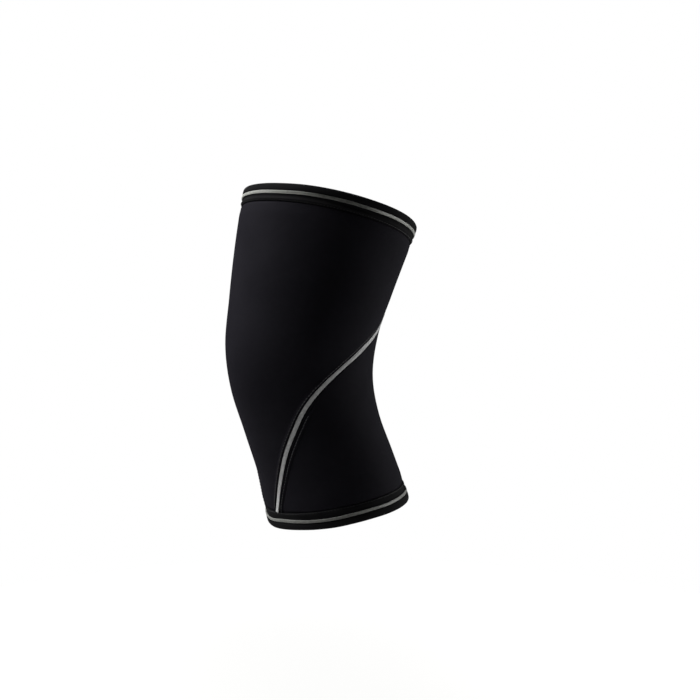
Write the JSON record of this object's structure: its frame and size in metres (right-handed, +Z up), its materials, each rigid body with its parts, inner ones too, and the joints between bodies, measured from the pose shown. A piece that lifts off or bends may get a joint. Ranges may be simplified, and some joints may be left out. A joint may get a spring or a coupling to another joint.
{
  "type": "knee sleeve",
  "caption": "Pull-on knee sleeve of thick black neoprene, pre-curved to the leg, with a grey braided arch seam and taped rims with a grey stripe.",
  "frame": {"origin": "middle of the knee, on the middle line of the hollow at half of the sleeve's height", "axes": "+Z up the leg towards the thigh, -Y out of the front of the knee, +X to the side"},
  "size_m": [0.1384, 0.153, 0.2625],
  "materials": {
    "neoprene": "matte black nylon jersey over padded neoprene",
    "binding": "matte black knitted tape",
    "grey_thread": "satin warm grey flat thread"
  },
  "bodies": {
    "root": {"front_panel": "neoprene", "calf_panel": "neoprene", "seam_stripe": "grey_thread", "top_binding": "binding", "bottom_binding": "binding", "top_stripe": "grey_thread", "bottom_stripe": "grey_thread"}
  },
  "joints": []
}
